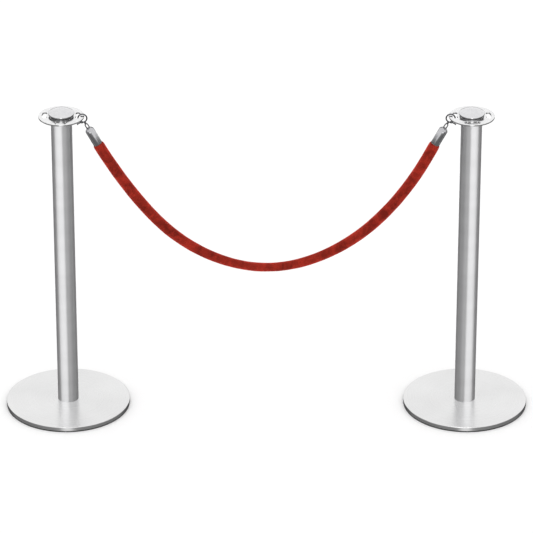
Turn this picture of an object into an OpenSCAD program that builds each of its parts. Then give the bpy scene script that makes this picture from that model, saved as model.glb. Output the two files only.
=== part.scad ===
// Rope barrier set: two disc-based steel posts joined by one velvet rope.
// Millimetres, +Z up. The origin lies on the floor, midway between the posts.
// The posts stand along X and the front of the set faces -Y.

/* [Posts] */
// Distance between the two post axes
post_spacing = 1160; // [1120:1:1200]
// Height of the top plate's upper face above the floor
plate_top = 925; // [900:1:950]
// Outside diameter of the upright tube
tube_d = 60; // [50:1:64]
// Wall thickness of the upright tube
tube_wall = 2; // [1.5:0.5:3]

/* [Base] */
// Diameter of the disc base
base_d = 360; // [320:1:400]
// Height of the base's upper face above the floor
base_top = 16; // [14:1:20]
// Thickness of the pressed steel cover
cover_t = 1.2; // [0.8:0.1:2]
// Height of the rubber floor ring
ring_h = 4; // [3:0.5:5]
// Thread diameter of the bolt that holds the tube to the base
base_bolt_d = 12; // [10:1:14]

/* [Top plate] */
// Diameter of the slotted plate that takes the rope hooks
plate_d = 130; // [120:1:140]
// Thickness of the plate
plate_t = 5; // [4:0.5:6]
// Width of the rim outside the slots, which the hooks close round
rim_w = 10; // [9:0.5:11]
// Radial width of a slot
slot_w = 13; // [12:0.5:14]
// Angle that each half of a slot spans about the post axis
slot_half_angle = 17; // [10:1:22]

/* [Cap] */
// Largest diameter of the domed cap
cap_d = 74; // [60:1:80]
// Height of the domed cap
cap_h = 19.5; // [16:0.5:24]
// Thread diameter of the cap's stud
stud_d = 10; // [8:1:12]
// Length of the stud below the cap
stud_l = 42; // [30:1:50]
// Thickness of the captive washer under the cap
cap_washer_t = 1.2; // [1:0.1:2]

/* [Snap hook] */
// Wire diameter of the hook's ring
ring_wire_d = 4; // [3.5:0.1:4.2]
// Diameter of the ring's centre line
ring_d = 25; // [25:0.5:27]
// Wire diameter of the gate
gate_wire_d = 3.6; // [3:0.1:4]
// Distance from the ring's centre to the ferrule pin
ring_to_pin = 46; // [44:1:50]
// Length of the trigger that opens the gate
trigger_l = 13; // [10:1:15]

/* [Ferrule] */
// Outside diameter of the rope's end ferrule
ferrule_d = 26; // [24:1:30]
// Distance from the ferrule pin to the ferrule's mouth
pin_to_mouth = 44; // [40:1:50]
// Distance from the ferrule's tip to the pin
tip_to_pin = 13; // [12:0.5:14]
// Diameter of the ferrule pin
pin_d = 4.6; // [4:0.1:5]

/* [Rope] */
// Rope diameter where it leaves a ferrule
rope_d_end = 32; // [28:0.2:34]
// Rope diameter at its lowest point
rope_d_middle = 25.6; // [24:0.2:32]
// Diameter of the cotton core
core_d = 22.6; // [20:0.2:23]

/* [Hidden] */

$fn = 96;
sliver = 0.05;         // radial play of a screw or pin in its bore
overcut = 1;           // how far a cutting shape runs past a face

// Base
base_r = base_d / 2;
edge_r = 2;            // rounding of the cover's pressed edge
bolt_r = base_bolt_d / 2;
weight_bottom = 2.2;
recess_r = 16;
recess_top = 9.5;
base_washer_t = 2;
bolt_top = base_top + 28;

// Top plate
plate_r = plate_d / 2;
plate_bottom = plate_top - plate_t;
plate_edge_r = 1.2;
slot_outer_r = plate_r - rim_w;
slot_inner_r = slot_outer_r - slot_w;
slot_end_step = 0.1;   // the round ends are this much narrower than the slot
stud_r = stud_d / 2;

// Cap
cap_bottom = plate_top + cap_washer_t;
cap_lip_r = 3.6;
cap_dome_h = cap_h - 6;
cap_dome_r = (pow(cap_d / 2, 2) + pow(cap_dome_h, 2)) / (2 * cap_dome_h);

// Snap hook: u runs away from the post, v runs up, both from the ring's centre
pull_angle = 62;       // the rope pulls this far below the horizontal
ring_r = ring_d / 2;
wire_r = ring_wire_d / 2;
gate_r = gate_wire_d / 2;
rim_gap = 0.6;         // free play between the ring and the plate's rim
ring_inner_r = ring_r - wire_r;
ring_u = slot_outer_r + (ring_inner_r - rim_gap) * cos(pull_angle);
ring_v = plate_top - (ring_inner_r - rim_gap) * sin(pull_angle);
pivot_angle = 256.5;   // where the gate's pin sits on the ring
pivot_u = ring_r * cos(pivot_angle);
pivot_v = ring_r * sin(pivot_angle);
arm_foot_angle = 272;  // where the fixed wire starts beside the pivot
gate_root_angle = 238; // where the gate's flat tab becomes round wire
nose_cut_angle = 45;   // slant of the joint between arm and gate
nose_gap = 0.3;
cheek_in = 1.4;
cheek_out = 2.7;
cheek_r = 3.2;
tab_half_t = 1.25;
gate_pin_r = 1;
trigger_angle = 210;
eye_start = 24;        // centre of the eye's near bend, from the ring's centre
eye_r = 4;
eye_wire_r = 1.6;
neck_r = 3.1;

// Ferrule, measured along the pull from the ring's centre
ferrule_r = ferrule_d / 2;
ferrule_tip = ring_to_pin - tip_to_pin;
ferrule_mouth = ring_to_pin + pin_to_mouth;
ferrule_dome_h = 9;
ferrule_dome_r = (pow(ferrule_r, 2) + pow(ferrule_dome_h, 2)) / (2 * ferrule_dome_h);
fork_half_w = 2.2;
fork_end = ring_to_pin + 7.5;
ferrule_bore_r = 12;
ferrule_bore_l = 28;
core_inside = 24;      // how far the core reaches into the ferrule
pin_r = pin_d / 2;
pin_head_r = 3.3;
pin_head_h = 1.1;
screw_r = 1.5;
screw_back = 14;       // distance of the rope screw from the ferrule's mouth

// Rope: its route from the left ferrule's mouth to the right one, as [x, z].
// It hangs under its own weight in the plane y = 0, a little fuller on the right.
rope_route = [
    [-478, 836.5], [-462, 808], [-440, 770], [-410, 722], [-375, 672], [-335, 619],
    [-290, 569], [-240, 526], [-180, 488], [-120, 462], [-60, 446], [0, 440],
    [60, 446], [120, 462], [180, 488], [240, 525], [290, 565.5], [335, 611.5],
    [375, 661], [410, 710], [440, 760.5], [462, 804], [478, 836.5]
];
rope_sides = 12;

// ---------- placing ----------

module left_post() {
    translate([-post_spacing / 2, 0, 0]) children();
}

module right_post() {
    mirror([1, 0, 0]) left_post() children();
}

// Draws in the ring's plane: x is u, y is v and z points to the front
module ring_plane() {
    translate([ring_u, 0, ring_v]) rotate([90, 0, 0]) children();
}

// Draws along the pull: x runs from the ring's centre towards the rope
module along_pull() {
    ring_plane() rotate([0, 0, -pull_angle]) children();
}

// ---------- outlines ----------

// Half section of a disc with a rounded upper edge
module disc_section(r, z_low, z_high, round_r) {
    translate([0, z_low]) square([r - round_r, z_high - z_low]);
    translate([0, z_low]) square([r, z_high - z_low - round_r]);
    translate([r - round_r, z_high - round_r]) circle(round_r);
}

// A kidney-shaped slot centred on the +X axis
module slot_outline() {
    middle_r = (slot_inner_r + slot_outer_r) / 2;
    reach = 2 * slot_outer_r;
    intersection() {
        difference() {
            circle(slot_outer_r);
            circle(slot_inner_r);
        }
        polygon([
            [0, 0],
            [reach * cos(slot_half_angle), -reach * sin(slot_half_angle)],
            [reach * cos(slot_half_angle), reach * sin(slot_half_angle)]
        ]);
    }
    for (side = [-1, 1])
        rotate(side * slot_half_angle) translate([middle_r, 0]) circle(slot_w / 2 - slot_end_step);
}

// ---------- base ----------

module floor_ring() {
    joint_gap = 1.5;
    color("#26262a") difference() {
        rotate_extrude() translate([base_r - 12, 0]) square([11.4, ring_h]);
        translate([-joint_gap / 2, -base_r, -overcut]) cube([joint_gap, 14, ring_h + 2 * overcut]);
    }
}

module base_weight() {
    clear = 0.2;
    color("#4a4a4c") rotate_extrude() difference() {
        union() {
            disc_section(base_r - cover_t - clear, ring_h + clear, base_top - cover_t - clear, 1.5);
            translate([0, weight_bottom]) square([base_r - 12 - clear, ring_h]);
        }
        translate([0, 0]) square([recess_r, recess_top]);
        square([bolt_r + 0.2, base_top]);
    }
}

module base_cover() {
    color("#e4e4e4") rotate_extrude() difference() {
        disc_section(base_r, ring_h, base_top, edge_r);
        disc_section(base_r - cover_t, 0, base_top - cover_t, edge_r - cover_t);
        square([bolt_r + 0.2, base_top + overcut]);
    }
}

module base_washer() {
    color("#b9bbbd") translate([0, 0, recess_top - base_washer_t]) difference() {
        cylinder(r = recess_r - 2, h = base_washer_t);
        translate([0, 0, -overcut]) cylinder(r = bolt_r + 0.2, h = base_washer_t + 2 * overcut);
    }
}

module base_bolt() {
    head_h = 6;
    head_top = recess_top - base_washer_t;
    color("#b9bbbd") {
        translate([0, 0, head_top - head_h]) cylinder(r = 10.4, h = head_h, $fn = 6);
        translate([0, 0, head_top]) cylinder(r = bolt_r, h = bolt_top - head_top);
    }
}

// ---------- upright ----------

module tube_foot() {
    color("#9a9c9e") translate([0, 0, base_top]) difference() {
        cylinder(r = tube_d / 2 - tube_wall - sliver, h = 30);
        translate([0, 0, -overcut]) cylinder(r = bolt_r + sliver, h = 30 + 2 * overcut);
    }
}

module tube() {
    color("#c4c5c6") translate([0, 0, base_top]) difference() {
        cylinder(r = tube_d / 2, h = plate_bottom - base_top);
        translate([0, 0, -overcut])
            cylinder(r = tube_d / 2 - tube_wall, h = plate_bottom - base_top + 2 * overcut);
    }
}

module tube_head() {
    head_h = 44;
    color("#9a9c9e") translate([0, 0, plate_bottom - head_h]) difference() {
        cylinder(r = tube_d / 2 - tube_wall - sliver, h = head_h);
        translate([0, 0, -overcut]) cylinder(r = stud_r + sliver, h = head_h + 2 * overcut);
    }
}

module top_plate() {
    color("#d8d9da") difference() {
        rotate_extrude() {
            translate([0, plate_bottom]) square([plate_r - plate_edge_r, plate_t]);
            translate([0, plate_bottom + plate_edge_r])
                square([plate_r, plate_t - 2 * plate_edge_r]);
            for (z = [plate_bottom + plate_edge_r, plate_top - plate_edge_r])
                translate([plate_r - plate_edge_r, z]) circle(plate_edge_r);
        }
        translate([0, 0, plate_bottom - overcut]) {
            cylinder(r = stud_r + 0.3, h = plate_t + 2 * overcut);
            for (turn = [0 : 90 : 270])
                rotate([0, 0, turn]) linear_extrude(plate_t + 2 * overcut) slot_outline();
        }
    }
}

// ---------- cap ----------

module cap_washer() {
    color("#1d1d1f") translate([0, 0, plate_top]) difference() {
        cylinder(r = 31, h = cap_washer_t);
        translate([0, 0, -overcut]) cylinder(r = stud_r + sliver, h = cap_washer_t + 2 * overcut);
    }
}

// Domed knob with an undercut neck, on a threaded stud
module dome_cap() {
    cap_r = cap_d / 2;
    lip_z = cap_bottom + cap_h - cap_dome_h;
    color("#e9e9ea") {
        rotate_extrude() {
            intersection() {
                translate([0, cap_bottom + cap_h - cap_dome_r]) circle(cap_dome_r, $fn = 200);
                translate([0, lip_z]) square([cap_r - 0.6, cap_dome_h]);
            }
            translate([cap_r - cap_lip_r, lip_z - 0.4]) circle(cap_lip_r);
            polygon([
                [0, cap_bottom], [cap_r - 5, cap_bottom], [cap_r - 2.2, lip_z - 3],
                [cap_r - 2.2, lip_z], [0, lip_z]
            ]);
        }
        translate([0, 0, cap_bottom - stud_l]) cylinder(r = stud_r, h = stud_l + 1);
    }
}

// ---------- snap hook ----------

// Round wire bent on the ring's centre line, between two angles
module ring_wire(r, from_angle, to_angle) {
    rotate([0, 0, from_angle]) rotate_extrude(angle = to_angle - from_angle)
        translate([ring_r, 0]) circle(r, $fn = 32);
}

// Block that trims the arm or the gate at the slanted joint between them
module nose_block(side) {
    translate([-ring_r, 0, 0]) rotate([0, 0, nose_cut_angle])
        translate([-6, side > 0 ? -9 + nose_gap / 2 : -nose_gap / 2, -4]) cube([12, 9, 8]);
}

// Flat piece of the ring between two angles
module ring_strip(from_angle, to_angle, half_w) {
    reach = 2 * ring_r;
    intersection() {
        difference() {
            circle(ring_r + half_w);
            circle(ring_r - half_w);
        }
        polygon([
            [0, 0],
            [reach * cos(from_angle), reach * sin(from_angle)],
            [reach * cos(to_angle), reach * sin(to_angle)]
        ]);
    }
}

module hook() {
    color("#c9cacc") {
        ring_plane() difference() {
            ring_wire(wire_r, -pull_angle, 196);
            nose_block(1);
        }
        ring_plane() ring_wire(wire_r, arm_foot_angle, 360 - pull_angle);
        ring_plane() for (side = [-1, 1])
            translate([0, 0, side * (cheek_in + cheek_out) / 2]) difference() {
                linear_extrude(cheek_out - cheek_in, center = true) {
                    translate([pivot_u, pivot_v]) circle(cheek_r);
                    ring_strip(pivot_angle, arm_foot_angle + 6, wire_r);
                }
                translate([pivot_u, pivot_v, 0])
                    cylinder(r = gate_pin_r + sliver, h = 4, center = true);
            }
        along_pull() {
            translate([ring_r, 0, 0]) rotate([0, 90, 0])
                cylinder(r = neck_r, h = eye_start - eye_r - ring_r);
            translate([eye_start, 0, 0]) rotate([0, 0, 90]) rotate_extrude(angle = 180)
                translate([eye_r, 0]) circle(eye_wire_r, $fn = 32);
            translate([ring_to_pin, 0, 0]) rotate([0, 0, -90]) rotate_extrude(angle = 180)
                translate([eye_r, 0]) circle(eye_wire_r, $fn = 32);
            for (side = [-1, 1]) translate([eye_start, side * eye_r, 0]) rotate([0, 90, 0])
                cylinder(r = eye_wire_r, h = ring_to_pin - eye_start, $fn = 32);
        }
    }
}

module gate() {
    color("#b9bbbd") ring_plane() {
        difference() {
            ring_wire(gate_r, 166, gate_root_angle + 2);
            nose_block(-1);
        }
        difference() {
            linear_extrude(2 * tab_half_t, center = true) {
                translate([pivot_u, pivot_v]) circle(2.7);
                ring_strip(gate_root_angle - 2, pivot_angle, gate_r - 0.2);
                translate([pivot_u, pivot_v]) rotate(trigger_angle)
                    translate([0, -1.3]) square([trigger_l, 2.6]);
            }
            translate([pivot_u, pivot_v, 0])
                cylinder(r = gate_pin_r + sliver, h = 4, center = true);
        }
        translate([pivot_u, pivot_v, 0]) rotate([0, 0, trigger_angle])
            translate([trigger_l, 0, 0]) cylinder(r = 1.6, h = 6.4, center = true);
    }
}

module gate_pin() {
    back_end = 5.4;
    color("#d0d1d3") ring_plane() translate([pivot_u, pivot_v, 0]) {
        translate([0, 0, -back_end]) cylinder(r = gate_pin_r, h = back_end + cheek_out + 0.5);
        translate([0, 0, cheek_out + sliver]) cylinder(r = 1.7, h = 0.6);
        translate([0, 0, -back_end - 0.6]) cylinder(r = 2.1, h = 0.6);
    }
}

// Closing spring, coiled round the pin behind the hook's cheek
module gate_spring() {
    spring_wire_r = 0.35;
    color("#a9abad") ring_plane() translate([pivot_u, pivot_v, 0]) {
        for (turn = [0 : 3]) translate([0, 0, -cheek_out - 0.4 - 0.6 * turn])
            rotate_extrude() translate([1.45, 0]) circle(spring_wire_r, $fn = 24);
        translate([1.45, 0, -cheek_out - 0.4]) rotate([-90, 0, 0])
            cylinder(r = spring_wire_r, h = 3, $fn = 24);
    }
}

// ---------- rope ends ----------

module ferrule() {
    color("#d3d4d6") along_pull() difference() {
        rotate([0, 90, 0]) rotate_extrude() {
            intersection() {
                translate([0, ferrule_tip + ferrule_dome_r]) circle(ferrule_dome_r);
                translate([0, ferrule_tip]) square([ferrule_r, ferrule_dome_h]);
            }
            translate([0, ferrule_tip + ferrule_dome_h])
                square([ferrule_r, ferrule_mouth - ferrule_tip - ferrule_dome_h]);
        }
        translate([ferrule_mouth - ferrule_bore_l, 0, 0]) rotate([0, 90, 0])
            cylinder(r = ferrule_bore_r, h = ferrule_bore_l + overcut);
        translate([ferrule_tip - overcut, -ferrule_d, -fork_half_w])
            cube([fork_end - ferrule_tip + overcut, 2 * ferrule_d, 2 * fork_half_w]);
        translate([ring_to_pin, 0, 0])
            cylinder(r = pin_r + sliver, h = ferrule_d + 2 * overcut, center = true);
        translate([ferrule_mouth - screw_back, 0, -ferrule_d])
            cylinder(r = screw_r + sliver, h = ferrule_d);
    }
}

module ferrule_pin() {
    head_curve_r = (pow(pin_head_r, 2) + pow(pin_head_h, 2)) / (2 * pin_head_h);
    color("#e0e1e3") along_pull() translate([ring_to_pin, 0, 0]) {
        cylinder(r = pin_r, h = ferrule_d + 0.2, center = true);
        for (side = [0, 180]) rotate([side, 0, 0]) translate([0, 0, ferrule_r + 0.1])
            rotate_extrude() intersection() {
                translate([0, pin_head_h - head_curve_r]) circle(head_curve_r);
                square([pin_head_r, pin_head_h]);
            }
    }
}

// Screw at the back of the ferrule, which bites into the core
module rope_screw() {
    color("#8f9194") along_pull() translate([ferrule_mouth - screw_back, 0, -ferrule_r])
        cylinder(r = screw_r, h = 5);
}

// ---------- rope ----------

pull = [cos(pull_angle), -sin(pull_angle)];

// The core runs on straight into each ferrule
core_route = concat(
    [rope_route[0] - core_inside * pull],
    rope_route,
    [[-rope_route[0][0] + core_inside * pull[0], rope_route[0][1] - core_inside * pull[1]]]
);

function unit(v) = v / norm(v);

// The rope leaves both ferrules along their axes
function heading(route, i) =
    i == 0 ? pull :
    i == len(route) - 1 ? [pull[0], -pull[1]] :
    unit(route[i + 1] - route[i - 1]);

// The rope is thinnest at its lowest point, and full again 380 mm to each side
function rope_r(x) =
    let (t = min(abs(x) / 380, 1))
    rope_d_middle / 2 + (rope_d_end - rope_d_middle) / 2 * t * t * (3 - 2 * t);

function ring_points(route, i, r) = [
    for (k = [0 : rope_sides - 1])
        let (a = 360 * k / rope_sides, h = heading(route, i))
        [route[i][0] - h[1] * r * cos(a), r * sin(a), route[i][1] + h[0] * r * cos(a)]
];

function wall_faces(first, rings, outward) = [
    for (i = [0 : rings - 2], k = [0 : rope_sides - 1])
        let (
            a = first + i * rope_sides + k,
            b = first + i * rope_sides + (k + 1) % rope_sides,
            c = b + rope_sides,
            d = a + rope_sides
        )
        outward ? [a, d, c, b] : [a, b, c, d]
];

module rope_core() {
    n = len(core_route);
    color("#d9d0bd") polyhedron(
        points = [for (i = [0 : n - 1]) each ring_points(core_route, i, core_d / 2)],
        faces = concat(
            [[for (k = [0 : rope_sides - 1]) k]],
            wall_faces(0, n, true),
            [[for (k = [rope_sides - 1 : -1 : 0]) (n - 1) * rope_sides + k]]
        )
    );
}

// Velvet sleeve: a tube round the core, open at both ends
module rope_sleeve() {
    n = len(rope_route);
    inner_r = core_d / 2 + 0.4;
    second = n * rope_sides;
    end = (n - 1) * rope_sides;
    color("#86301f") polyhedron(
        points = concat(
            [for (i = [0 : n - 1]) each ring_points(rope_route, i, rope_r(rope_route[i][0]))],
            [for (i = [0 : n - 1]) each ring_points(rope_route, i, inner_r)]
        ),
        faces = concat(
            wall_faces(0, n, true),
            wall_faces(second, n, false),
            [for (k = [0 : rope_sides - 1]) let (m = (k + 1) % rope_sides)
                [k, m, second + m, second + k]],
            [for (k = [0 : rope_sides - 1]) let (m = (k + 1) % rope_sides)
                [end + k, second + end + k, second + end + m, end + m]]
        )
    );
}

// ---------- nodes ----------

left_post() floor_ring();  // left_floor_ring
left_post() base_weight();  // left_base_weight
left_post() base_cover();  // left_base_cover
left_post() base_washer();  // left_base_washer
left_post() base_bolt();  // left_base_bolt
left_post() tube_foot();  // left_tube_foot
left_post() tube();  // left_tube
left_post() tube_head();  // left_tube_head
left_post() top_plate();  // left_top_plate
left_post() cap_washer();  // left_cap_washer
left_post() dome_cap();  // left_dome_cap
left_post() hook();  // left_hook
left_post() gate();  // left_gate
left_post() gate_pin();  // left_gate_pin
left_post() gate_spring();  // left_gate_spring
left_post() ferrule();  // left_ferrule
left_post() ferrule_pin();  // left_ferrule_pin
left_post() rope_screw();  // left_rope_screw
right_post() floor_ring();  // right_floor_ring
right_post() base_weight();  // right_base_weight
right_post() base_cover();  // right_base_cover
right_post() base_washer();  // right_base_washer
right_post() base_bolt();  // right_base_bolt
right_post() tube_foot();  // right_tube_foot
right_post() tube();  // right_tube
right_post() tube_head();  // right_tube_head
right_post() top_plate();  // right_top_plate
right_post() cap_washer();  // right_cap_washer
right_post() dome_cap();  // right_dome_cap
right_post() hook();  // right_hook
right_post() gate();  // right_gate
right_post() gate_pin();  // right_gate_pin
right_post() gate_spring();  // right_gate_spring
right_post() ferrule();  // right_ferrule
right_post() ferrule_pin();  // right_ferrule_pin
right_post() rope_screw();  // right_rope_screw
rope_core();
rope_sleeve();
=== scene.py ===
"""A rope barrier: two slotted steel posts on disc bases, joined by a velvet rope.

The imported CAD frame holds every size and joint. This file dresses it: it gives each CAD node the
material of the real piece, and models the rope and its core, the ferrules, the caps, the top plates
and the rubber rings anew.
"""

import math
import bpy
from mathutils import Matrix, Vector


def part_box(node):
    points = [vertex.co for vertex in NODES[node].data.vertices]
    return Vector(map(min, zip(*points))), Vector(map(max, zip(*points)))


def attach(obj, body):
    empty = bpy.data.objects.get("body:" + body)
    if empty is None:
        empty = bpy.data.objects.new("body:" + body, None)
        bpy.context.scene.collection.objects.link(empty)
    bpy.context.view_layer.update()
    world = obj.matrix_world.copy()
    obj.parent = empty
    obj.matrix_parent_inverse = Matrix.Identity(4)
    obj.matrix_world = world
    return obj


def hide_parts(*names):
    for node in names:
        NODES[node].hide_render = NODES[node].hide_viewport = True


bl_info = {
    "name": "Rope Barrier",
    "version": (1, 0, 0),
    "blender": (4, 5, 0),
    "location": "View3D > Sidebar > Rope Barrier",
    "description": "Dresses the rope barrier's frame with its rope, fittings and metal finishes",
    "category": "Add Mesh",
}

import bpy
from bpy.props import FloatProperty, FloatVectorProperty, IntProperty, PointerProperty
from mathutils import Vector

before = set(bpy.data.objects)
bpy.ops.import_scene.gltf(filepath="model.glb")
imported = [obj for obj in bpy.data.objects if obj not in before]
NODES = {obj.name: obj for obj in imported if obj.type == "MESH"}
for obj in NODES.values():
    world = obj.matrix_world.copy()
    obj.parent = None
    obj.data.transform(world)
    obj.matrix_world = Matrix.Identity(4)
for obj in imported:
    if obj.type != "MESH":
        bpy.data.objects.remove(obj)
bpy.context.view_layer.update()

MM = 0.001
SIDES = {"left": -1, "right": 1}


# ---------- places that follow from the frame ----------

def node_centre(name):
    """Middle of a CAD node's box."""
    low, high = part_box(name)
    return (low + high) / 2


POST_X = node_centre("right_tube").x
CAP_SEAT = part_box("right_cap_washer")[1].z
CAP_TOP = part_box("right_dome_cap")[1].z
CAP_R = (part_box("right_dome_cap")[1].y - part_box("right_dome_cap")[0].y) / 2
STUD_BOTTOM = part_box("right_dome_cap")[0].z

# The rope pulls each hook along a line that leans this far below the horizontal
PULL = math.radians(62)
# How far the rope's core runs into each ferrule
CORE_INSIDE = 24 * MM
# The velvet is drawn in at each mouth by this part of its radius, and swells over this length
TUCK = 0.13
TUCK_LENGTH = 3.2 * MM
# Distance from the middle at which the rope has its full thickness
FULL_THICKNESS_X = 380 * MM
# Length of one section of the rope
ROPE_STEP = 4 * MM

# Side of the square floor, which runs past the edge of every view
FLOOR_SIZE = 90
# How far the camera sees, which is past the floor's far corner
SIGHT = 200

# The cap's stud: radius at the bottom of its thread, and how far it reaches into the knob
STUD_ROOT_R = 4.2 * MM
STUD_INSIDE = 2 * MM


def pull_direction(side):
    """Unit vector from a post's hook towards the rope."""
    return Vector((-SIDES[side] * math.cos(PULL), 0, -math.sin(PULL)))


# ---------- settings ----------

def srgb(code):
    """Turns an sRGB hex colour such as '#86301f' into linear RGBA."""
    values = [int(code[i:i + 2], 16) / 255 for i in (1, 3, 5)]
    linear = [v / 12.92 if v <= 0.04045 else ((v + 0.055) / 1.055) ** 2.4 for v in values]
    return (*linear, 1.0)


class PostSettings(bpy.types.PropertyGroup):
    """Sizes of the caps' threads and of the eased edges on the posts."""
    thread_pitch: FloatProperty(
        name="Stud pitch", description="Rise of the cap's thread in one turn",
        default=1.5 * MM, min=0.5 * MM, max=3 * MM, unit="LENGTH", precision=4)
    thread_depth: FloatProperty(
        name="Stud thread depth", description="Depth of the cap's thread",
        default=0.75 * MM, min=0.2 * MM, max=1.5 * MM, unit="LENGTH", precision=5)
    edge_ease: FloatProperty(
        name="Eased edge", description="Rounding of the sawn and pressed edges",
        default=0.35 * MM, min=0.05 * MM, max=1 * MM, unit="LENGTH", precision=5)
    rubber_ease: FloatProperty(
        name="Rubber edge", description="Rounding of the moulded floor ring",
        default=1.0 * MM, min=0.2 * MM, max=1.5 * MM, unit="LENGTH", precision=5)


class RopeSettings(bpy.types.PropertyGroup):
    """Sizes and colour of the velvet rope, with its core and ferrules."""
    end_diameter: FloatProperty(
        name="Diameter at the ends", description="Rope diameter where it leaves a ferrule",
        default=32.0 * MM, min=24 * MM, max=34 * MM, unit="LENGTH", precision=4)
    middle_diameter: FloatProperty(
        name="Diameter in the middle", description="Rope diameter at its lowest point",
        default=25.6 * MM, min=22 * MM, max=32 * MM, unit="LENGTH", precision=4)
    sides: IntProperty(
        name="Sides", description="Faces round the rope", default=56, min=16, max=96)
    pile: FloatProperty(
        name="Pile height", description="Unevenness of the velvet's pile",
        default=0.18 * MM, min=0, max=1 * MM, unit="LENGTH", precision=5)
    lumps: FloatProperty(
        name="Filling", description="Unevenness of the filling under the velvet",
        default=0.9 * MM, min=0, max=3 * MM, unit="LENGTH", precision=5)
    cloth: FloatProperty(
        name="Cloth", description="Thickness of the velvet and its backing",
        default=0.9 * MM, min=0.4 * MM, max=2 * MM, unit="LENGTH", precision=4)
    strand_diameter: FloatProperty(
        name="Core strand", description="Diameter of each of the core's three strands",
        default=11.4 * MM, min=6 * MM, max=12 * MM, unit="LENGTH", precision=4)
    lay_length: FloatProperty(
        name="Lay length", description="Length in which the core's strands turn once",
        default=70 * MM, min=30 * MM, max=200 * MM, unit="LENGTH", precision=3)
    ferrule_ease: FloatProperty(
        name="Ferrule edge", description="Rounding of the ferrules' turned and sawn edges",
        default=0.4 * MM, min=0.05 * MM, max=0.6 * MM, unit="LENGTH", precision=5)
    colour: FloatVectorProperty(
        name="Velvet", description="Dye colour of the velvet", subtype="COLOR",
        size=3, min=0, max=1, default=srgb("#982b1f")[:3])


class StageSettings(bpy.types.PropertyGroup):
    """Camera, soft lights and floor."""
    lens: FloatProperty(
        name="Lens", description="Focal length of the camera", default=270, min=50, max=400,
        unit="CAMERA")
    distance: FloatProperty(
        name="Camera distance", description="Distance in front of the posts",
        default=10.262, min=2, max=20, unit="LENGTH")
    height: FloatProperty(
        name="Camera height", description="Height above the floor",
        default=5.660, min=0.5, max=10, unit="LENGTH")
    pitch: FloatProperty(
        name="Camera pitch", description="Angle below the horizontal",
        default=math.radians(26.934), min=0, max=math.pi / 2, subtype="ANGLE")
    key_strength: FloatProperty(
        name="Panels", description="Brightness of the soft lights beside each post",
        default=1.0, min=0, max=10)
    floor_colour: FloatVectorProperty(
        name="Floor", description="Colour of the floor", subtype="COLOR",
        size=3, min=0, max=1, default=srgb("#fbfbfb")[:3])


# ---------- materials ----------

def add(tree, kind, links=None, values=None, stops=(), **settings):
    """Adds a shader node with its settings, linked sockets, socket values and colour stops."""
    made = tree.nodes.new("ShaderNode" + kind)
    for name, value in settings.items():
        setattr(made, name, value)
    for socket, value in (values or {}).items():
        made.inputs[socket].default_value = value
    for socket, source in (links or {}).items():
        tree.links.new(source, made.inputs[socket])
    for index, (position, colour) in enumerate(stops):
        made.color_ramp.elements[index].position = position
        made.color_ramp.elements[index].color = colour
    return made


def new_material(name):
    """An empty node material with its output, ready for a surface."""
    made = bpy.data.materials.new(name)
    made.use_nodes = True
    made.node_tree.nodes.clear()
    output = add(made.node_tree, "OutputMaterial")
    return made, made.node_tree, output


def post_coordinates(tree):
    """Object coordinates measured from the nearer post's axis, and the distance from that axis."""
    coords = add(tree, "TexCoord")
    split = add(tree, "SeparateXYZ", {"Vector": coords.outputs["Object"]})
    mirrored = add(tree, "Math", {0: split.outputs["X"]}, operation="ABSOLUTE")
    across = add(tree, "Math", {0: mirrored.outputs[0]}, {1: POST_X}, operation="SUBTRACT")
    local = add(tree, "CombineXYZ", {"X": across.outputs[0], "Y": split.outputs["Y"],
                                     "Z": split.outputs["Z"]})
    flat = add(tree, "CombineXYZ", {"X": across.outputs[0], "Y": split.outputs["Y"]})
    radius = add(tree, "VectorMath", {0: flat.outputs[0]}, operation="LENGTH")
    return local.outputs[0], radius.outputs["Value"]


def brushed_stainless_tube():
    """Stainless tube, belt-ground round its circumference: light smears into upright bands."""
    made, tree, output = new_material("stainless_belt_ground")
    local = post_coordinates(tree)[0]
    # Grinding lines about 0.5 mm apart, drawn 2 mm apart, run round the tube
    lines = add(tree, "Mapping", {"Vector": local}, {"Scale": (9, 9, 500)})
    grain = add(tree, "TexNoise", {"Vector": lines.outputs[0]},
                {"Scale": 1.0, "Detail": 4, "Roughness": 0.6})
    # Slow changes in the belt's pressure along the tube
    broad = add(tree, "Mapping", {"Vector": local}, {"Scale": (4, 4, 18)})
    cloud = add(tree, "TexNoise", {"Vector": broad.outputs[0]}, {"Scale": 1.0, "Detail": 2})
    rough = add(tree, "MapRange", {"Value": grain.outputs["Fac"]},
                {"From Min": 0.3, "From Max": 0.7, "To Min": 0.34, "To Max": 0.42})
    tint = add(tree, "ValToRGB", {"Fac": cloud.outputs["Fac"]},
               stops=((0.35, srgb("#e9e9ea")), (0.65, srgb("#f0f0f1"))))
    bump = add(tree, "Bump", {"Height": grain.outputs["Fac"]},
               {"Strength": 0.05, "Distance": 0.2 * MM})
    round_axis = add(tree, "Tangent", direction_type="RADIAL", axis="Z")
    surface = add(tree, "BsdfPrincipled",
                  {"Base Color": tint.outputs["Color"], "Roughness": rough.outputs[0],
                   "Normal": bump.outputs[0], "Tangent": round_axis.outputs[0]},
                  {"Metallic": 1.0, "Anisotropic": 0.80, "Anisotropic Rotation": 0.25})
    tree.links.new(surface.outputs[0], output.inputs["Surface"])
    return made


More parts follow.
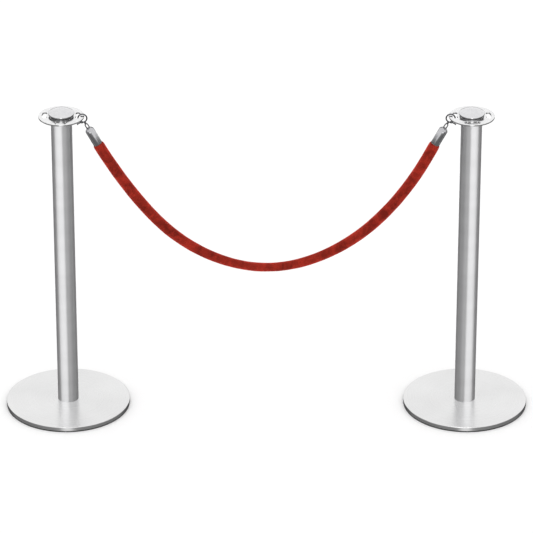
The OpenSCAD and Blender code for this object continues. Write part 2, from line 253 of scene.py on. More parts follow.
def circle_polished_cover():
    """Pressed stainless cover, polished in circles: light smears outwards from the post."""
    made, tree, output = new_material("stainless_circle_polished")
    local, radius = post_coordinates(tree)
    # Polishing circles about 0.3 mm apart, drawn 1.5 mm apart
    rings = add(tree, "CombineXYZ", {"X": radius})
    grain = add(tree, "TexNoise", {"Vector": rings.outputs[0]},
                {"Scale": 650.0, "Detail": 3, "Roughness": 0.6})
    cloud = add(tree, "TexNoise", {"Vector": local}, {"Scale": 7.0, "Detail": 2})
    rough = add(tree, "MapRange", {"Value": grain.outputs["Fac"]},
                {"From Min": 0.3, "From Max": 0.7, "To Min": 0.25, "To Max": 0.31})
    tint = add(tree, "ValToRGB", {"Fac": cloud.outputs["Fac"]},
               stops=((0.35, srgb("#dadada")), (0.65, srgb("#e0e0e0"))))
    bump = add(tree, "Bump", {"Height": grain.outputs["Fac"]},
               {"Strength": 0.04, "Distance": 0.2 * MM})
    round_axis = add(tree, "Tangent", direction_type="RADIAL", axis="Z")
    surface = add(tree, "BsdfPrincipled",
                  {"Base Color": tint.outputs["Color"], "Roughness": rough.outputs[0],
                   "Normal": bump.outputs[0], "Tangent": round_axis.outputs[0]},
                  {"Metallic": 1.0, "Anisotropic": 0.35, "Anisotropic Rotation": 0.25})
    tree.links.new(surface.outputs[0], output.inputs["Surface"])
    return made


def polished_metal(name, light, dark, smooth, worn):
    """Polished or plated metal, with faint wiping marks that change its gloss."""
    made, tree, output = new_material(name)
    coords = add(tree, "TexCoord")
    # Wiping marks some 10 mm across, with finer streaks in them
    wipe = add(tree, "TexNoise", {"Vector": coords.outputs["Object"]},
               {"Scale": 90.0, "Detail": 4, "Roughness": 0.65})
    rough = add(tree, "MapRange", {"Value": wipe.outputs["Fac"]},
                {"From Min": 0.35, "From Max": 0.7, "To Min": smooth, "To Max": worn})
    tint = add(tree, "ValToRGB", {"Fac": wipe.outputs["Fac"]},
               stops=((0.3, srgb(light)), (0.7, srgb(dark))))
    bump = add(tree, "Bump", {"Height": wipe.outputs["Fac"]},
               {"Strength": 0.02, "Distance": 0.3 * MM})
    surface = add(tree, "BsdfPrincipled",
                  {"Base Color": tint.outputs["Color"], "Roughness": rough.outputs[0],
                   "Normal": bump.outputs[0]},
                  {"Metallic": 1.0})
    tree.links.new(surface.outputs[0], output.inputs["Surface"])
    return made


def moulded_rubber():
    """Black moulded rubber: matt, slightly grey where it has rubbed on floors."""
    made, tree, output = new_material("rubber_moulded_black")
    coords = add(tree, "TexCoord")
    # Scuffs some 6 mm across
    scuff = add(tree, "TexNoise", {"Vector": coords.outputs["Object"]},
                {"Scale": 160.0, "Detail": 5, "Roughness": 0.7})
    tint = add(tree, "ValToRGB", {"Fac": scuff.outputs["Fac"]},
               stops=((0.35, srgb("#1c1c1e")), (0.75, srgb("#303033"))))
    bump = add(tree, "Bump", {"Height": scuff.outputs["Fac"]},
               {"Strength": 0.25, "Distance": 0.2 * MM})
    surface = add(tree, "BsdfPrincipled",
                  {"Base Color": tint.outputs["Color"], "Normal": bump.outputs[0]},
                  {"Roughness": 0.75, "IOR": 1.52})
    tree.links.new(surface.outputs[0], output.inputs["Surface"])
    return made


def sand_cast_iron():
    """Sand-cast iron with a thin black paint: grainy and dull."""
    made, tree, output = new_material("cast_iron_painted")
    coords = add(tree, "TexCoord")
    # Sand grains about 0.4 mm across, drawn 1.4 mm across
    sand = add(tree, "TexNoise", {"Vector": coords.outputs["Object"]},
               {"Scale": 700.0, "Detail": 4, "Roughness": 0.7})
    tint = add(tree, "ValToRGB", {"Fac": sand.outputs["Fac"]},
               stops=((0.3, srgb("#232325")), (0.7, srgb("#39393c"))))
    bump = add(tree, "Bump", {"Height": sand.outputs["Fac"]},
               {"Strength": 0.5, "Distance": 0.4 * MM})
    surface = add(tree, "BsdfPrincipled",
                  {"Base Color": tint.outputs["Color"], "Normal": bump.outputs[0]},
                  {"Roughness": 0.62, "IOR": 1.5})
    tree.links.new(surface.outputs[0], output.inputs["Surface"])
    return made


def turned_steel(name, code, roughness):
    """Bare or zinc-plated steel with fine turning marks along its height."""
    made, tree, output = new_material(name)
    coords = add(tree, "TexCoord")
    # Turning marks about 0.2 mm apart, drawn 0.7 mm apart
    lines = add(tree, "Mapping", {"Vector": coords.outputs["Object"]}, {"Scale": (40, 40, 1500)})
    marks = add(tree, "TexNoise", {"Vector": lines.outputs[0]}, {"Scale": 1.0, "Detail": 3})
    rough = add(tree, "MapRange", {"Value": marks.outputs["Fac"]},
                {"From Min": 0.3, "From Max": 0.7, "To Min": roughness, "To Max": roughness + 0.12})
    bump = add(tree, "Bump", {"Height": marks.outputs["Fac"]},
               {"Strength": 0.15, "Distance": 0.1 * MM})
    surface = add(tree, "BsdfPrincipled",
                  {"Roughness": rough.outputs[0], "Normal": bump.outputs[0]},
                  {"Base Color": srgb(code), "Metallic": 1.0})
    tree.links.new(surface.outputs[0], output.inputs["Surface"])
    return made


def black_nylon():
    """Turned black nylon: dark with a soft sheen."""
    made, tree, output = new_material("nylon_turned_black")
    coords = add(tree, "TexCoord")
    # Tool marks about 0.3 mm apart, drawn 1.1 mm apart
    grain = add(tree, "TexNoise", {"Vector": coords.outputs["Object"]},
                {"Scale": 900.0, "Detail": 3})
    bump = add(tree, "Bump", {"Height": grain.outputs["Fac"]},
               {"Strength": 0.1, "Distance": 0.1 * MM})
    surface = add(tree, "BsdfPrincipled", {"Normal": bump.outputs[0]},
                  {"Base Color": srgb("#1b1b1d"), "Roughness": 0.45, "IOR": 1.53})
    tree.links.new(surface.outputs[0], output.inputs["Surface"])
    return made


def pile_velvet(colour):
    """Cut-pile velvet: deep red, with a painted sheen that darkens the colour face on and pales it
    where the surface is seen from the side.
    """
    made, tree, output = new_material("velvet_cut_pile")
    coords = add(tree, "TexCoord")
    # Pile tufts about 0.6 mm across, drawn 2.5 mm across
    tufts = add(tree, "TexNoise", {"Vector": coords.outputs["Object"]},
                {"Scale": 420.0, "Detail": 5, "Roughness": 0.72})
    # Patches some 30 mm long where the pile has been stroked another way
    stroked = add(tree, "TexNoise", {"Vector": coords.outputs["Object"]},
                  {"Scale": 34.0, "Detail": 3, "Roughness": 0.6, "Distortion": 0.6})
    deep = (*[0.62 * c for c in colour], 1.0)
    pale = (*[1.32 * c for c in colour], 1.0)
    base = add(tree, "ValToRGB", {"Fac": stroked.outputs["Fac"]},
               stops=((0.36, deep), (0.64, pale)))
    flecks = add(tree, "ValToRGB", {"Fac": tufts.outputs["Fac"]},
                 stops=((0.35, (0.62, 0.6, 0.6, 1)), (0.68, (1.25, 1.22, 1.2, 1))))
    tint = add(tree, "Mix", {6: base.outputs["Color"], 7: flecks.outputs["Color"]}, {0: 1.0},
               data_type="RGBA", blend_type="MULTIPLY")
    # Painted sheen: the base colour is darkened face on and paled where the surface is seen from
    # the side, as velvet's pile shines
    side_on = add(tree, "LayerWeight", None, {"Blend": 0.5})
    painted_sheen = add(tree, "ValToRGB", {"Fac": side_on.outputs["Facing"]},
              stops=((0.15, (0.86, 0.82, 0.82, 1)), (0.85, (1.22, 1.32, 1.36, 1))))
    sheen_painted_colour = add(tree, "Mix", {6: tint.outputs[2], 7: painted_sheen.outputs["Color"]}, {0: 1.0},
                  data_type="RGBA", blend_type="MULTIPLY")
    bump = add(tree, "Bump", {"Height": tufts.outputs["Fac"]},
               {"Strength": 0.35, "Distance": 0.8 * MM})
    surface = add(tree, "BsdfPrincipled",
                  {"Base Color": sheen_painted_colour.outputs[2], "Normal": bump.outputs[0]},
                  {"Roughness": 0.95, "IOR": 1.45, "Specular IOR Level": 0.1,
                   "Sheen Weight": 1.0, "Sheen Roughness": 0.45,
                   "Sheen Tint": srgb("#e8574c")})
    tree.links.new(surface.outputs[0], output.inputs["Surface"])
    return made


def twisted_cotton():
    """Undyed twisted cotton, as in the rope's core."""
    made, tree, output = new_material("cotton_twisted")
    coords = add(tree, "TexCoord")
    # Yarns about 1.5 mm thick, drawn 5 mm wide
    strands = add(tree, "TexWave", {"Vector": coords.outputs["Object"]},
                  {"Scale": 60.0, "Distortion": 1.5, "Detail": 2})
    tint = add(tree, "ValToRGB", {"Fac": strands.outputs["Fac"]},
               stops=((0.2, srgb("#b9ac90")), (0.8, srgb("#dfd6c0"))))
    bump = add(tree, "Bump", {"Height": strands.outputs["Fac"]},
               {"Strength": 0.6, "Distance": 1 * MM})
    surface = add(tree, "BsdfPrincipled",
                  {"Base Color": tint.outputs["Color"], "Normal": bump.outputs[0]},
                  {"Roughness": 0.9, "IOR": 1.5})
    tree.links.new(surface.outputs[0], output.inputs["Surface"])
    return made


def painted_floor(colour):
    """Matt studio floor, nearly white, with the faintest mottling."""
    made, tree, output = new_material("studio_floor_matt")
    coords = add(tree, "TexCoord")
    # Patches some 0.3 m across
    mottle = add(tree, "TexNoise", {"Vector": coords.outputs["Object"]},
                 {"Scale": 3.0, "Detail": 3})
    tint = add(tree, "ValToRGB", {"Fac": mottle.outputs["Fac"]},
               stops=((0.3, (*[0.99 * c for c in colour], 1)), (0.7, (*colour, 1))))
    surface = add(tree, "BsdfPrincipled", {"Base Color": tint.outputs["Color"]},
                  {"Roughness": 0.9, "Specular IOR Level": 0.1})
    tree.links.new(surface.outputs[0], output.inputs["Surface"])
    return made


def dress(piece, material):
    """Gives every slot of a piece the one material."""
    if not piece.data.materials:
        piece.data.materials.append(material)
    for index in range(len(piece.data.materials)):
        piece.data.materials[index] = material


# ---------- modelling helpers ----------

def only(piece):
    """Makes one object the active and only selected one."""
    if bpy.context.object and bpy.context.object.mode != "OBJECT":
        bpy.ops.object.mode_set(mode="OBJECT")
    bpy.ops.object.select_all(action="DESELECT")
    piece.select_set(True)
    bpy.context.view_layer.objects.active = piece


def named(name):
    """Names the object that an operator has just added."""
    made = bpy.context.object
    made.name = name
    made.data.name = name
    return made


def apply(piece, kind, **settings):
    """Adds a modifier, sets it and applies it."""
    only(piece)
    modifier = piece.modifiers.new(kind.title(), kind)
    for name, value in settings.items():
        setattr(modifier, name, value)
    bpy.ops.object.modifier_apply(modifier=modifier.name)


def tidy_mesh(piece, smooth_angle=40):
    """Merges doubles, turns the faces outwards and shades the piece."""
    only(piece)
    bpy.ops.object.mode_set(mode="EDIT")
    bpy.ops.mesh.select_all(action="SELECT")
    bpy.ops.mesh.remove_doubles(threshold=0.01 * MM)
    bpy.ops.mesh.normals_make_consistent(inside=False)
    bpy.ops.object.mode_set(mode="OBJECT")
    bpy.ops.object.shade_smooth_by_angle(angle=math.radians(smooth_angle))


def place(piece, spot):
    """Moves a piece, then applies its place to its mesh."""
    only(piece)
    piece.location = spot
    bpy.ops.object.transform_apply(location=True, rotation=True, scale=True)


def twin(piece, name):
    """A copy of a piece with its own mesh."""
    only(piece)
    bpy.ops.object.duplicate(linked=False)
    return named(name)


def eased_copy(node, name, width, segments=2):
    """A merged copy of a CAD node with its sharp edges rounded, which stands for the node."""
    copy = twin(NODES[node], name)
    copy.parent = None
    for key in list(copy.keys()):
        del copy[key]
    only(copy)
    bpy.ops.object.mode_set(mode="EDIT")
    bpy.ops.mesh.select_all(action="SELECT")
    bpy.ops.mesh.customdata_custom_splitnormals_clear()
    bpy.ops.mesh.remove_doubles(threshold=0.005 * MM)
    bpy.ops.mesh.dissolve_limited(angle_limit=math.radians(0.05))
    bpy.ops.object.mode_set(mode="OBJECT")
    apply(copy, "BEVEL", width=width, segments=segments, limit_method="ANGLE",
          angle_limit=math.radians(50), harden_normals=False)
    apply(copy, "TRIANGULATE")
    tidy_mesh(copy, 35)
    return copy


def lathe(name, outline, steps):
    """Turns an outline of (radius, height) points about Z into a closed round piece."""
    bpy.ops.object.select_all(action="DESELECT")
    bpy.ops.mesh.primitive_plane_add(size=10 * MM)
    piece = named(name)
    bpy.ops.object.mode_set(mode="EDIT")
    bpy.ops.mesh.select_all(action="SELECT")
    bpy.ops.mesh.merge(type="CENTER")
    previous = outline[0]
    bpy.ops.transform.translate(value=(previous[0], 0, previous[1]))
    for radius, height in outline[1:]:
        bpy.ops.mesh.extrude_region_move(
            TRANSFORM_OT_translate={"value": (radius - previous[0], 0, height - previous[1])})
        previous = (radius, height)
    bpy.ops.mesh.select_all(action="SELECT")
    bpy.ops.mesh.spin(steps=steps, angle=2 * math.pi, center=(0, 0, 0), axis=(0, 0, 1))
    bpy.ops.object.mode_set(mode="OBJECT")
    tidy_mesh(piece)
    return piece


def arc(centre, radius, start, stop, steps):
    """Points on an arc of an outline, with angles in degrees from the outward direction."""
    angles = [math.radians(start + (stop - start) * i / steps) for i in range(steps + 1)]
    return [(centre[0] + radius * math.cos(a), centre[1] + radius * math.sin(a)) for a in angles]


# ---------- rope ----------

# The rope's route from the left ferrule's mouth to the right one: metres, x and z
ROPE_ROUTE = [
    (-0.478, 0.8365), (-0.462, 0.808), (-0.440, 0.770), (-0.410, 0.722), (-0.375, 0.672),
    (-0.335, 0.619), (-0.290, 0.569), (-0.240, 0.526), (-0.180, 0.488), (-0.120, 0.462),
    (-0.060, 0.446), (0, 0.440), (0.060, 0.446), (0.120, 0.462), (0.180, 0.488), (0.240, 0.525),
    (0.290, 0.5655), (0.335, 0.6115), (0.375, 0.661), (0.410, 0.710), (0.440, 0.7605),
    (0.462, 0.804), (0.478, 0.8365),
]


def smooth_line(points, step):
    """Points a step apart on a smooth curve near the given ones."""
    line = [p.copy() for p in points]
    for _ in range(4):
        finer = []
        for a, b in zip(line, line[1:]):
            finer += [a, (a + b) / 2]
        line = finer + [line[-1]]
        for _ in range(3):
            inner = [(line[i - 1] + 2 * line[i] + line[i + 1]) / 4
                     for i in range(1, len(line) - 1)]
            line = [line[0]] + inner + [line[-1]]
    spans = [(b - a).length for a, b in zip(line, line[1:])]
    total = sum(spans)
    count = round(total / step)
    even, done, i = [line[0]], 0.0, 0
    for k in range(1, count):
        wanted = total * k / count
        while done + spans[i] < wanted:
            done += spans[i]
            i += 1
        even.append(line[i].lerp(line[i + 1], (wanted - done) / spans[i]))
    return even + [line[-1]], total


class BARRIER_OT_rope(bpy.types.Operator):
    """Makes the velvet sleeve as one soft tube that hangs between the ferrules"""
    bl_idname = "barrier.rope"
    bl_label = "Velvet rope"

    def execute(self, context):
        settings = context.scene.barrier_rope
        line, length = smooth_line([Vector((x, 0, z)) for x, z in ROPE_ROUTE], ROPE_STEP)
        # The sleeve is tucked in at both mouths, and swells just outside them
        data = bpy.data.curves.new("velvet_rope", "CURVE")
        data.dimensions = "3D"
        data.bevel_depth = settings.end_diameter / 2
        data.bevel_resolution = settings.sides // 4 - 1
        spline = data.splines.new("POLY")
        spline.points.add(len(line) - 1)
        slim = settings.middle_diameter / settings.end_diameter
        walked = 0.0
        for i, spot in enumerate(line):
            walked += (spot - line[i - 1]).length if i else 0.0
            from_end = min(walked, length - walked)
            tuck = 1 - TUCK * math.exp(-((from_end / TUCK_LENGTH) ** 1.6))
            out = min(abs(spot.x) / FULL_THICKNESS_X, 1)
            taper = slim + (1 - slim) * out * out * (3 - 2 * out)
            spline.points[i].co = (*spot, 1)
            spline.points[i].radius = taper * tuck
        curve = bpy.data.objects.new("velvet_rope", data)
        context.scene.collection.objects.link(curve)
        only(curve)
        bpy.ops.object.convert(target="MESH")
        rope = named("velvet_rope")
        tidy_mesh(rope, 80)
        # The pile's tufts, then the lumps of the filling under it
        tufts = bpy.data.textures.new("pile", "CLOUDS")
        tufts.noise_scale = 1.6 * MM
        tufts.noise_depth = 3
        apply(rope, "DISPLACE", texture=tufts, texture_coords="LOCAL", strength=settings.pile,
              mid_level=0.5)
        lumps = bpy.data.textures.new("filling", "CLOUDS")
        lumps.noise_scale = 45 * MM
        apply(rope, "DISPLACE", texture=lumps, texture_coords="LOCAL", strength=settings.lumps,
              mid_level=0.5)
        apply(rope, "SOLIDIFY", thickness=settings.cloth, offset=-1, use_rim=True)
        only(rope)
        bpy.ops.object.shade_smooth()
        dress(rope, pile_velvet(settings.colour))
        rope.visible_glossy = False
        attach(rope, "rope")
        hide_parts("rope_sleeve")
        return {"FINISHED"}


class BARRIER_OT_core(bpy.types.Operator):
    """Lays the rope's core: three cotton strands twisted together, which run into both ferrules"""
    bl_idname = "barrier.core"
    bl_label = "Cotton core"

    def execute(self, context):
        settings = context.scene.barrier_rope
        route = [Vector((x, 0, z)) for x, z in ROPE_ROUTE]
        # The core ends inside the ferrules, on their axes
        route.insert(0, route[0] - CORE_INSIDE * pull_direction("left"))
        route.append(route[-1] - CORE_INSIDE * pull_direction("right"))
        line, length = smooth_line(route, ROPE_STEP)
        # Strands of equal size touch when their centres lie this far from the middle
        off = settings.strand_diameter / math.sqrt(3)
        strands = []
        for turn in range(3):
            data = bpy.data.curves.new("strand", "CURVE")
            data.dimensions = "3D"
            data.bevel_depth = settings.strand_diameter / 2
            data.bevel_resolution = 3
            data.use_fill_caps = True
            spline = data.splines.new("POLY")
            spline.points.add(len(line) - 1)
            for i, spot in enumerate(line):
                ahead = (line[min(i + 1, len(line) - 1)] - line[max(i - 1, 0)]).normalized()
                beside = Vector((0, 1, 0))
                above = ahead.cross(beside)
                walked = length * i / (len(line) - 1)
                angle = 2 * math.pi * (walked / settings.lay_length + turn / 3)
                shift = off * (math.cos(angle) * beside + math.sin(angle) * above)
                spline.points[i].co = (*(spot + shift), 1)
            strand = bpy.data.objects.new("strand", data)
            context.scene.collection.objects.link(strand)
            only(strand)
            bpy.ops.object.convert(target="MESH")
            strands.append(bpy.context.object)
        only(strands[0])
        for strand in strands:
            strand.select_set(True)
        bpy.ops.object.join()
        core = named("twisted_core")
        tidy_mesh(core, 60)
        dress(core, twisted_cotton())
        core.visible_glossy = False
        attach(core, "rope")
        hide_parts("rope_core")
        return {"FINISHED"}


# ---------- ferrules and their pins ----------

class BARRIER_OT_ferrules(bpy.types.Operator):
    """Makes both chrome ferrules, forked at the tip, and finishes their pins and screws"""
    bl_idname = "barrier.ferrules"
    bl_label = "Ferrules"

    def execute(self, context):
        chrome = polished_metal("brass_chrome_plated", "#c6c6c8", "#b4b4b7", 0.14, 0.26)
        steel = polished_metal("steel_pin_polished", "#e2e2e4", "#cfcfd2", 0.08, 0.16)
        for side in SIDES:
            shell = eased_copy(side + "_ferrule", side + "_ferrule_shell",
                               context.scene.barrier_rope.ferrule_ease, 3)
            dress(shell, chrome)
            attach(shell, "rope")
            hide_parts(side + "_ferrule")
            dress(NODES[side + "_ferrule_pin"], steel)
            dress(NODES[side + "_rope_screw"], steel)
        return {"FINISHED"}


# ---------- snap hooks ----------

class BARRIER_OT_snap_hooks(bpy.types.Operator):
    """Finishes both snap hooks and their gates, with the springs and pins"""
    bl_idname = "barrier.snap_hooks"
    bl_label = "Snap hooks"

    def execute(self, context):
        chrome = polished_metal("steel_wire_chrome_plated", "#7c7c7f", "#616164", 0.14, 0.26)
        pin = polished_metal("steel_rivet_polished", "#dcdcde", "#c4c4c7", 0.1, 0.2)
        spring = turned_steel("spring_wire_bare", "#9a9a9d", 0.3)
        for side in SIDES:
            dress(NODES[side + "_hook"], chrome)
            dress(NODES[side + "_gate"], chrome)
            dress(NODES[side + "_gate_pin"], pin)
            dress(NODES[side + "_gate_spring"], spring)
        return {"FINISHED"}


# ---------- caps ----------

def cap_outline():
    """Half outline of the domed knob: a flat foot, an undercut neck, a round lip and a dome."""
    foot_z = CAP_SEAT + 0.01 * MM
    foot_r = CAP_R - 6 * MM
    foot_round = 1 * MM
    neck_r = CAP_R - 4.6 * MM
    bore_r = 4.6 * MM
    lip_r = 3.4 * MM
    lip_z = CAP_SEAT + 5.6 * MM
    # The dome starts where the lip's round has turned this far above the horizontal
    lip_end = 66
    dome_edge = CAP_R - lip_r * (1 - math.cos(math.radians(lip_end)))
    dome_base = lip_z + lip_r * math.sin(math.radians(lip_end))
    dome_h = CAP_TOP - dome_base
    dome_r = (dome_edge ** 2 + dome_h ** 2) / (2 * dome_h)
    sweep = math.degrees(math.asin(dome_edge / dome_r))
    points = [(bore_r, foot_z), (foot_r, foot_z)]
    points += arc((foot_r, foot_z + foot_round), foot_round, -90, -20, 5)[1:]
    points += [(neck_r, CAP_SEAT + 2.2 * MM)]
    points += arc((CAP_R - lip_r, lip_z), lip_r, -62, lip_end, 18)
    points += arc((0, CAP_TOP - dome_r), dome_r, 90 - sweep, 90, 28)[1:]
    return points


def threaded_stud(name, bottom, top, pitch, depth):
    """A stud with a helical thread: one turn of its outline, wound up and closed at both ends."""
    bpy.ops.object.select_all(action="DESELECT")
    bpy.ops.mesh.primitive_plane_add(size=10 * MM)
    piece = named(name)
    bpy.ops.object.mode_set(mode="EDIT")
    bpy.ops.mesh.select_all(action="SELECT")
    bpy.ops.mesh.merge(type="CENTER")
    bpy.ops.transform.translate(value=(STUD_ROOT_R, 0, bottom))
    # Root, rising flank, crest, falling flank and root, as parts of the pitch
    for across, up in ((0, 0.12), (depth, 0.34), (0, 0.08), (-depth, 0.34), (0, 0.12)):
        bpy.ops.mesh.extrude_region_move(
            TRANSFORM_OT_translate={"value": (across, 0, up * pitch)})
    bpy.ops.object.mode_set(mode="OBJECT")
    turns = int((top - bottom) / pitch) - 1
    apply(piece, "SCREW", axis="Z", angle=2 * math.pi, screw_offset=pitch, iterations=turns,
          steps=40, render_steps=40, use_merge_vertices=True, merge_threshold=0.01 * MM)
    only(piece)
    bpy.ops.object.mode_set(mode="EDIT")
    bpy.ops.mesh.select_all(action="DESELECT")
    bpy.ops.mesh.select_non_manifold()
    bpy.ops.mesh.edge_face_add()
    bpy.ops.object.mode_set(mode="OBJECT")
    tidy_mesh(piece, 30)
    return piece


class BARRIER_OT_caps(bpy.types.Operator):
    """Turns the domed caps, cuts the thread on their studs and finishes the washers under them"""
    bl_idname = "barrier.caps"
    bl_label = "Domed caps"

    def execute(self, context):
        settings = context.scene.barrier_post
        mirror = polished_metal("stainless_mirror_polished", "#dcdcdd", "#d2d2d4", 0.06, 0.14)
        stud_steel = turned_steel("stud_steel_rolled_thread", "#b4b5b7", 0.3)
        nylon = black_nylon()
        knob = lathe("cap_knob", cap_outline(), 128)
        stud = threaded_stud("cap_stud", STUD_BOTTOM, CAP_SEAT + STUD_INSIDE,
                             settings.thread_pitch, settings.thread_depth)
        dress(knob, mirror)
        dress(stud, stud_steel)
        for side, sign in SIDES.items():
            for pattern, word, slot in ((knob, "_cap_knob", "cap_steel"),
                                        (stud, "_cap_stud", "plain_steel")):
                piece = twin(pattern, side + word)
                place(piece, (sign * POST_X, 0, 0))
                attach(piece, side + "_cap")
                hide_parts(side + "_dome_cap")
            dress(NODES[side + "_cap_washer"], nylon)
        for pattern in (knob, stud):
            bpy.data.objects.remove(pattern)
        return {"FINISHED"}


# ---------- posts ----------

class BARRIER_OT_plates(bpy.types.Operator):
    """Eases the edges of the slotted top plates"""
    bl_idname = "barrier.plates"
    bl_label = "Top plates"

    def execute(self, context):
        polished = polished_metal("stainless_satin_polished", "#ececec", "#dededf", 0.14, 0.22)
        for side in SIDES:
            plate = eased_copy(side + "_top_plate", side + "_hook_plate",
                               context.scene.barrier_post.edge_ease)
            dress(plate, polished)
            # Kept out of reflections, so that the cap's side mirrors the dark surroundings
            plate.visible_glossy = False
            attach(plate, "posts")
            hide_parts(side + "_top_plate")
        return {"FINISHED"}


class BARRIER_OT_uprights(bpy.types.Operator):
    """Finishes the tubes and the threaded plugs inside them"""
    bl_idname = "barrier.uprights"
    bl_label = "Uprights"

    def execute(self, context):
        brushed = brushed_stainless_tube()
        turned = turned_steel("mild_steel_turned", "#8f9092", 0.35)
        for side in SIDES:
            dress(NODES[side + "_tube"], brushed)
            dress(NODES[side + "_tube_foot"], turned)
            dress(NODES[side + "_tube_head"], turned)
        return {"FINISHED"}


class BARRIER_OT_bases(bpy.types.Operator):
    """Finishes the base covers, weights and bolts, and moulds the rubber floor rings"""
    bl_idname = "barrier.bases"
    bl_label = "Bases"

    def execute(self, context):
        cover = circle_polished_cover()
        iron = sand_cast_iron()
        zinc = turned_steel("steel_zinc_plated", "#b9bcbf", 0.32)
        rubber = moulded_rubber()
        for side in SIDES:
            dress(NODES[side + "_base_cover"], cover)
            dress(NODES[side + "_base_weight"], iron)
            dress(NODES[side + "_base_washer"], zinc)
            dress(NODES[side + "_base_bolt"], zinc)
            ring = eased_copy(side + "_floor_ring", side + "_rubber_ring",
                              context.scene.barrier_post.rubber_ease, 3)
            dress(ring, rubber)
            # Kept out of reflections, so that the upright's bands run down to its foot unchanged
            unseen = ("_base_cover", "_base_weight", "_base_washer", "_base_bolt", "_tube_foot")
            for piece in [ring] + [NODES[side + word] for word in unseen]:
                piece.visible_glossy = False
            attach(ring, "posts")
            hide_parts(side + "_floor_ring")
        return {"FINISHED"}


# ---------- stage ----------

def studio_world():
    """Bright above, grey low in front and dark low behind, so polished rims read dark."""
    bright = (1.10, 1.10, 1.10, 1)
    low_front = (0.20, 0.20, 0.20, 1)
    low_behind = (0.06, 0.06, 0.06, 1)
    wall_height = 0.30
    plain_white = (1.0, 1.0, 1.0, 1)
    world = bpy.data.worlds.new("studio")
    world.use_nodes = True
    tree = world.node_tree
    tree.nodes.clear()
    coords = add(tree, "TexCoord")
    split = add(tree, "SeparateXYZ", {"Vector": coords.outputs["Generated"]})
    behind = add(tree, "MapRange", {"Value": split.outputs["Y"]},
                 {"From Min": 0.30, "From Max": 0.70}, interpolation_type="SMOOTHSTEP")
    # Two dim walls, left and right, hide the sky's edge and put dark bands in polished steel
    sideways = add(tree, "Math", {0: split.outputs["X"]}, operation="ABSOLUTE")
    wall = add(tree, "MapRange", {"Value": sideways.outputs[0]},
               {"From Min": 0.66, "From Max": 0.94, "To Max": wall_height},
               interpolation_type="SMOOTHSTEP")
    over_wall = add(tree, "Math", {0: split.outputs["Z"], 1: wall.outputs[0]},
                    operation="SUBTRACT")
    above = add(tree, "MapRange", {"Value": over_wall.outputs[0]},
                {"From Min": -0.34, "From Max": 0.04}, interpolation_type="SMOOTHSTEP")
    low = add(tree, "Mix", {0: behind.outputs[0]}, {6: low_front, 7: low_behind},
              data_type="RGBA")
    sky = add(tree, "Mix", {0: above.outputs[0], 6: low.outputs[2]}, {7: bright},
              data_type="RGBA")
    # The view itself shows plain white behind the floor; only light and reflections see the rest
    ray = add(tree, "LightPath")
    seen = add(tree, "Mix", {0: ray.outputs["Is Camera Ray"], 6: sky.outputs[2]},
               {7: plain_white}, data_type="RGBA")
    glow = add(tree, "Background", {"Color": seen.outputs[2]}, {"Strength": 1.0})
    add(tree, "OutputWorld", {"Surface": glow.outputs[0]})
    return world


def soft_panel(name, spot, target, width, height, power, receivers):
    """A large soft light that shines only on the given pieces."""
    data = bpy.data.lights.new(name, "AREA")
    data.shape = "RECTANGLE"
    data.size = width
    data.size_y = height
    data.energy = power
    lamp = bpy.data.objects.new(name, data)
    bpy.context.scene.collection.objects.link(lamp)
    lamp.location = spot
    lamp.rotation_mode = "QUATERNION"
    lamp.rotation_quaternion = (Vector(target) - Vector(spot)).to_track_quat("-Z", "Y")
    lamp.visible_camera = False
    group = bpy.data.collections.new(name)
    for piece in receivers:
        group.objects.link(piece)
    lamp.light_linking.receiver_collection = group


class BARRIER_OT_stage(bpy.types.Operator):
    """Lays the floor and sets the camera and the sky"""
    bl_idname = "barrier.stage"
    bl_label = "Stage"

    def execute(self, context):
        settings = context.scene.barrier_stage
        context.scene.view_settings.view_transform = "Standard"
        bpy.ops.object.select_all(action="DESELECT")
        bpy.ops.mesh.primitive_plane_add(size=FLOOR_SIZE, location=(0, 0, 0))
        floor = named("floor")
        dress(floor, painted_floor(settings.floor_colour))
        floor.visible_glossy = False
        floor.visible_shadow = False
        context.scene.world = studio_world()
        lens = bpy.data.cameras.new("camera")
        lens.lens = settings.lens
        lens.clip_end = SIGHT
        camera = bpy.data.objects.new("camera", lens)
        context.scene.collection.objects.link(camera)
        camera.location = (0, -settings.distance, settings.height)
        camera.rotation_euler = (math.pi / 2 - settings.pitch, 0, 0)
        context.scene.camera = camera
        return {"FINISHED"}


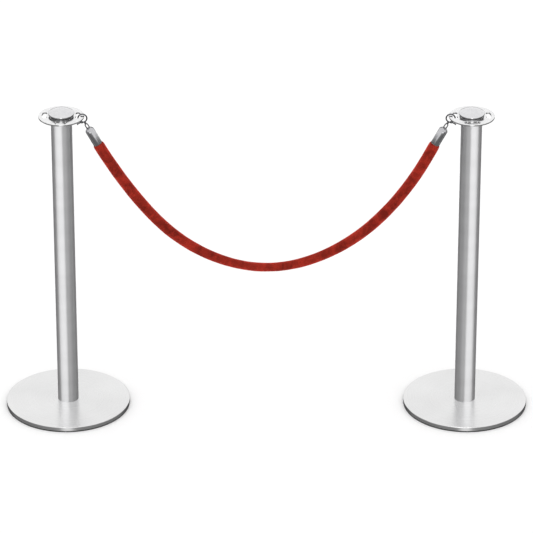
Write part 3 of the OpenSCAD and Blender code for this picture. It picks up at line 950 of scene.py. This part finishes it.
class BARRIER_OT_lights(bpy.types.Operator):
    """Puts a soft panel on each post's outer side, and a narrow one in front of its cap and base"""
    bl_idname = "barrier.lights"
    bl_label = "Lights"

    def execute(self, context):
        strength = context.scene.barrier_stage.key_strength
        # Seen from a post, its key spans from its outer side to just past the front
        key_turn = math.radians(37)
        # Metres from a post's axis to its lights, which are aimed low to reach the base
        away = 1.5
        for side, sign in SIDES.items():
            middle = Vector((sign * POST_X, 0, 0.2))
            outwards = Vector((sign * math.sin(key_turn), -math.cos(key_turn), 0))
            soft_panel(side + "_key", middle + away * outwards, middle, width=2.8, height=4.4,
                       power=22 * strength, receivers=[NODES[side + "_tube"]])
            polished = [NODES[side + "_base_cover"], NODES[side + "_ferrule_pin"],
                        bpy.data.objects[side + "_cap_knob"],
                        bpy.data.objects[side + "_hook_plate"]]
            soft_panel(side + "_strip", middle + Vector((0, -away, 0)), middle, width=0.5,
                       height=3.0, power=4 * strength, receivers=polished)
        return {"FINISHED"}


# ---------- add-on ----------

class BARRIER_PT_panel(bpy.types.Panel):
    """Lists the barrier's makers in the sidebar"""
    bl_idname = "BARRIER_PT_panel"
    bl_label = "Rope Barrier"
    bl_space_type = "VIEW_3D"
    bl_region_type = "UI"
    bl_category = "Rope Barrier"

    def draw(self, context):
        for maker in MAKERS:
            self.layout.operator(maker.bl_idname)


SETTINGS = {"barrier_post": PostSettings, "barrier_rope": RopeSettings,
            "barrier_stage": StageSettings}
MAKERS = (BARRIER_OT_stage, BARRIER_OT_rope, BARRIER_OT_core, BARRIER_OT_ferrules,
          BARRIER_OT_snap_hooks, BARRIER_OT_caps, BARRIER_OT_plates, BARRIER_OT_uprights,
          BARRIER_OT_bases, BARRIER_OT_lights)


def register():
    """Registers the settings, operators and panel."""
    for name, group in SETTINGS.items():
        bpy.utils.register_class(group)
        setattr(bpy.types.Scene, name, PointerProperty(type=group))
    for maker in MAKERS:
        bpy.utils.register_class(maker)
    bpy.utils.register_class(BARRIER_PT_panel)


def unregister():
    """Takes them out again."""
    bpy.utils.unregister_class(BARRIER_PT_panel)
    for maker in reversed(MAKERS):
        bpy.utils.unregister_class(maker)
    for name, group in SETTINGS.items():
        delattr(bpy.types.Scene, name)
        bpy.utils.unregister_class(group)


def main():
    """Makes the whole barrier."""
    register()
    bpy.ops.barrier.stage()
    bpy.ops.barrier.rope()
    bpy.ops.barrier.core()
    bpy.ops.barrier.ferrules()
    bpy.ops.barrier.snap_hooks()
    bpy.ops.barrier.caps()
    bpy.ops.barrier.plates()
    bpy.ops.barrier.uprights()
    bpy.ops.barrier.bases()
    bpy.ops.barrier.lights()


if __name__ == "__main__":
    main()
